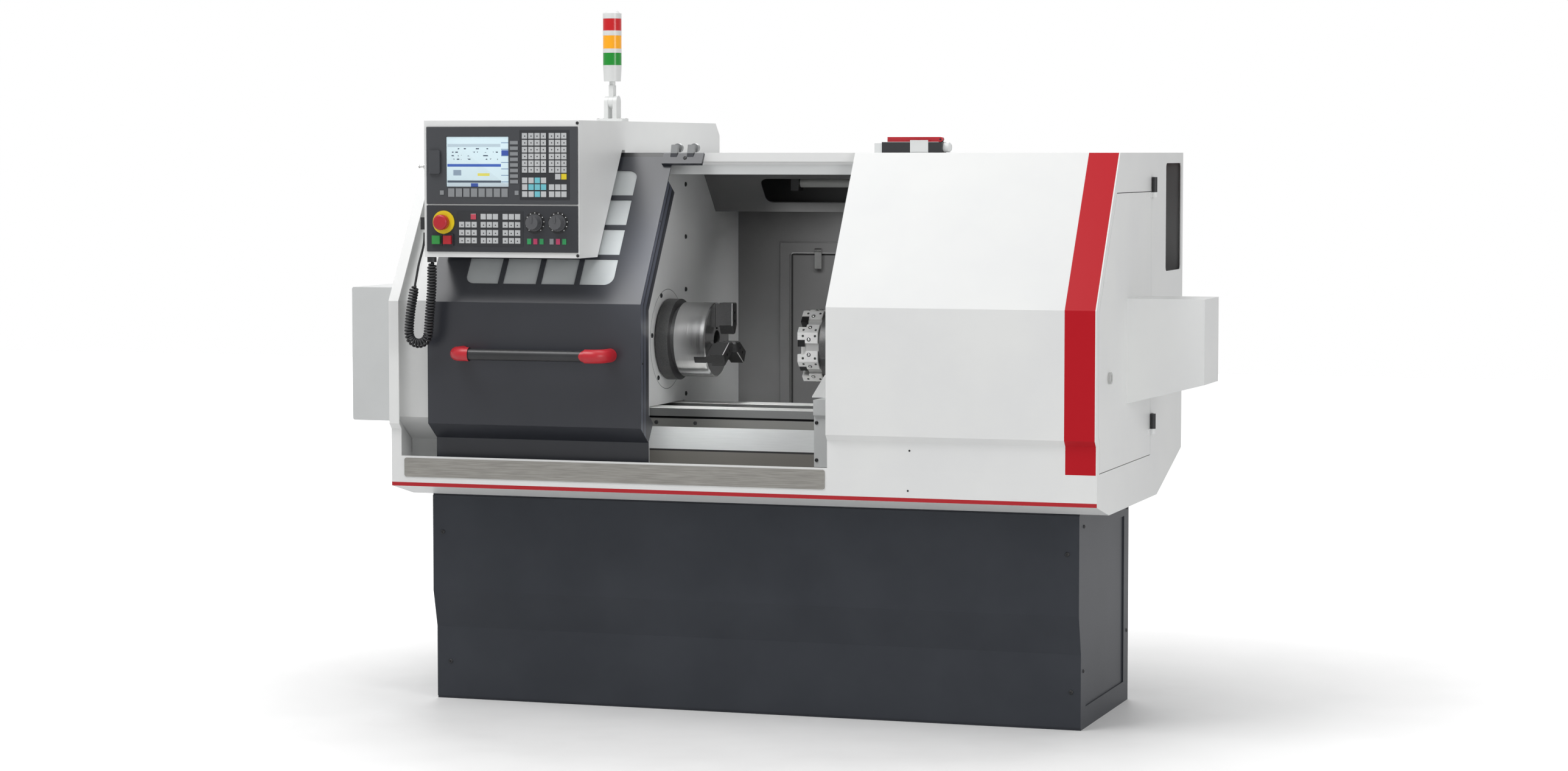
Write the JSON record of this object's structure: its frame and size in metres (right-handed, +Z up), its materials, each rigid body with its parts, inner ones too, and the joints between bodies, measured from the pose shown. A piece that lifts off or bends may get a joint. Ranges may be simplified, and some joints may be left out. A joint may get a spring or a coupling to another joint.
{
  "type": "cnc turning lathe",
  "caption": "Flat-bed CNC turning lathe in a folded splash guard with a sliding grid-window door, console wedge, three-jaw chuck and rear tool turret.",
  "frame": {"origin": "on the floor under the middle of the machine's bounding box", "axes": "+X along the bed from the headstock to the tailstock, -Y towards the operator, +Z up"},
  "size_m": [2.339, 1.14, 1.845],
  "materials": {
    "white_paint": "satin",
    "guard_paint": "satin",
    "tray_paint": "satin",
    "dark_paint": "satin",
    "interior_paint": "satin",
    "grey_paint": "satin",
    "stainless": "brushed",
    "bed_iron": "satin",
    "casting_iron": "matte",
    "ground_steel": "brushed",
    "dark_steel": "satin",
    "polished_steel": "polished",
    "turret_metal": "satin",
    "black_plastic": "matte",
    "handle_plastic": "matte",
    "unit_plastic": "matte",
    "panel_plastic": "matte",
    "key_plastic": "matte",
    "red_plastic": "gloss",
    "green_plastic": "gloss",
    "pale_plastic": "gloss",
    "lens_plastic": "gloss",
    "window_glass": "clear",
    "lamp_glass": "clear",
    "black_rubber": "matte"
  },
  "bodies": {
    "frame": {"base_frame": "dark_paint", "base_front_panel": "dark_paint", "chip_tray": "tray_paint", "tray_lip": "stainless", "right_guard": "guard_paint", "right_end_wall": "guard_paint", "left_end_wall": "white_paint", "back_panel": "interior_paint", "roof_panel": "white_paint", "lamp_panel": "interior_paint", "work_light": "lamp_glass", "headstock_cover": "white_paint", "console_housing": "white_paint", "control_unit": "unit_plastic", "machine_panel": "panel_plastic", "key_mats": "key_plastic", "tower_foot": "pale_plastic", "coil_cord": "black_rubber", "coil_lead": "black_rubber", "cord_glands": "black_plastic", "spindle_bearings": "polished_steel", "headstock_casting": "casting_iron", "main_motor": "grey_paint", "drive_belt": "black_rubber", "bed": "bed_iron", "spindle_end_cover": "grey_paint", "side_door_hinges": "black_plastic", "lubricator": "pale_plastic", "roof_valve": "dark_paint"},
    "front_door": {"front_door": "dark_paint", "door_window": "window_glass", "door_handle": "handle_plastic", "door_rollers": "dark_steel"},
    "spindle": {"spindle": "dark_steel", "chuck_body": "polished_steel"},
    "jaw_1": {"chuck_jaw_1": "dark_steel"},
    "jaw_2": {"chuck_jaw_2": "dark_steel"},
    "jaw_3": {"chuck_jaw_3": "dark_steel"},
    "motor_pulley": {"motor_pulley": "ground_steel"},
    "carriage": {"carriage": "bed_iron"},
    "feed_screw": {"feed_screw": "ground_steel"},
    "cross_slide": {"cross_slide": "white_paint", "turret_housing": "dark_steel"},
    "turret": {"turret_disc": "turret_metal"},
    "tailstock": {"tailstock_body": "casting_iron"},
    "quill": {"tailstock_quill": "ground_steel"},
    "handwheel": {"tailstock_handwheel": "polished_steel"},
    "side_door": {"side_door": "guard_paint"},
    "side_door_lock": {"side_door_lock": "polished_steel"},
    "rear_hatch": {"rear_hatch": "interior_paint"},
    "hatch_latch": {"hatch_latch": "polished_steel"},
    "estop_button": {"estop_button": "red_plastic"},
    "start_button": {"start_button": "green_plastic"},
    "stop_button": {"stop_button": "red_plastic"},
    "feed_knob": {"feed_knob": "black_plastic"},
    "speed_knob": {"speed_knob": "black_plastic"},
    "port_flap": {"port_flap": "unit_plastic"},
    "tower": {"tower_body": "pale_plastic", "tower_lenses": "lens_plastic"},
    "roof_lever": {"roof_lever": "red_plastic"}
  },
  "joints": [
    {"name": "front_door_slide", "type": "slide", "parent": "frame", "child": "front_door", "axis": [1, 0, 0], "range_m": [0, 0.497]},
    {"name": "spindle_spin", "type": "hinge", "parent": "frame", "child": "spindle", "pos_m": [0, -0.038, 0.966], "axis": [1, 0, 0], "continuous": true},
    {"name": "jaw_1_slide", "type": "slide", "parent": "spindle", "child": "jaw_1", "axis": [0, 0, 1], "range_m": [-0.004, 0.014]},
    {"name": "jaw_2_slide", "type": "slide", "parent": "spindle", "child": "jaw_2", "axis": [0, -0.866, -0.5], "range_m": [-0.004, 0.014]},
    {"name": "jaw_3_slide", "type": "slide", "parent": "spindle", "child": "jaw_3", "axis": [0, 0.866, -0.5], "range_m": [-0.004, 0.014]},
    {"name": "motor_spin", "type": "hinge", "parent": "frame", "child": "motor_pulley", "pos_m": [0, 0.33, 0.85], "axis": [1, 0, 0], "continuous": true},
    {"name": "feed_screw_spin", "type": "hinge", "parent": "frame", "child": "feed_screw", "pos_m": [0, 0.14, 0.738], "axis": [1, 0, 0], "range_deg": [-4690, 6490]},
    {"name": "carriage_slide", "type": "slide", "parent": "frame", "child": "carriage", "axis": [1, 0, 0], "range_m": [-0.13, 0.18]},
    {"name": "cross_slide_feed", "type": "slide", "parent": "carriage", "child": "cross_slide", "axis": [0, 1, 0], "range_m": [-0.11, 0.1]},
    {"name": "turret_index", "type": "hinge", "parent": "cross_slide", "child": "turret", "pos_m": [0.0625, 0.112, 0.947], "axis": [1, 0, 0], "continuous": true},
    {"name": "tailstock_slide", "type": "slide", "parent": "frame", "child": "tailstock", "axis": [1, 0, 0], "range_m": [-0.1, 0.03]},
    {"name": "handwheel_spin", "type": "hinge", "parent": "tailstock", "child": "handwheel", "pos_m": [0.85, -0.038, 0.966], "axis": [1, 0, 0], "range_deg": [0, 7200]},
    {"name": "quill_slide", "type": "slide", "parent": "tailstock", "child": "quill", "axis": [-1, 0, 0], "range_m": [0, 0.1]},
    {"name": "side_door_swing", "type": "hinge", "parent": "frame", "child": "side_door", "pos_m": [0.976, 0.163, 1], "axis": [0, 0, 1], "range_deg": [0, 110]},
    {"name": "side_door_lock_turn", "type": "hinge", "parent": "side_door", "child": "side_door_lock", "pos_m": [0.968, -0.331, 0.903], "axis": [1, 0, 0], "range_deg": [0, 90]},
    {"name": "rear_hatch_swing", "type": "hinge", "parent": "frame", "child": "rear_hatch", "pos_m": [0.38, 0.5638, 0.94], "axis": [0, 0, -1], "range_deg": [0, 100]},
    {"name": "hatch_latch_flip", "type": "hinge", "parent": "frame", "child": "hatch_latch", "pos_m": [-0.072, 0.5377, 1.192], "axis": [-1, 0, 0], "range_deg": [0, 120]},
    {"name": "estop_press", "type": "slide", "parent": "frame", "child": "estop_button", "axis": [0, 1, 0], "range_m": [0, 0.006], "stiffness_N_per_m": 400},
    {"name": "start_press", "type": "slide", "parent": "frame", "child": "start_button", "axis": [0, 1, 0], "range_m": [0, 0.004], "stiffness_N_per_m": 300},
    {"name": "stop_press", "type": "slide", "parent": "frame", "child": "stop_button", "axis": [0, 1, 0], "range_m": [0, 0.004], "stiffness_N_per_m": 300},
    {"name": "feed_knob_turn", "type": "hinge", "parent": "frame", "child": "feed_knob", "pos_m": [-0.4984, -0.545, 1.2879], "axis": [0, 1, 0], "range_deg": [-135, 135]},
    {"name": "speed_knob_turn", "type": "hinge", "parent": "frame", "child": "speed_knob", "pos_m": [-0.434, -0.545, 1.2879], "axis": [0, 1, 0], "range_deg": [-135, 135]},
    {"name": "port_flap_swing", "type": "hinge", "parent": "frame", "child": "port_flap", "pos_m": [-0.78916, -0.5428, 1.4], "axis": [0, 0, -1], "range_deg": [0, 100]},
    {"name": "tower_tilt", "type": "hinge", "parent": "frame", "child": "tower", "pos_m": [-0.4365, -0.138, 1.603], "axis": [-1, 0, 0], "range_deg": [0, 90]},
    {"name": "roof_lever_lift", "type": "hinge", "parent": "frame", "child": "roof_lever", "pos_m": [0.44, -0.01, 1.503], "axis": [0, 1, 0], "range_deg": [0, 90]}
  ],
  "couplings": [
    {"joint": "jaw_2_slide", "follows": "jaw_1_slide", "ratio": 1},
    {"joint": "jaw_3_slide", "follows": "jaw_1_slide", "ratio": 1},
    {"joint": "motor_spin", "follows": "spindle_spin", "ratio": 1.5385},
    {"joint": "feed_screw_spin", "follows": "carriage_slide", "rad_per_m": 628.32},
    {"joint": "quill_slide", "follows": "handwheel_spin", "m_per_rad": 0.00079577}
  ]
}
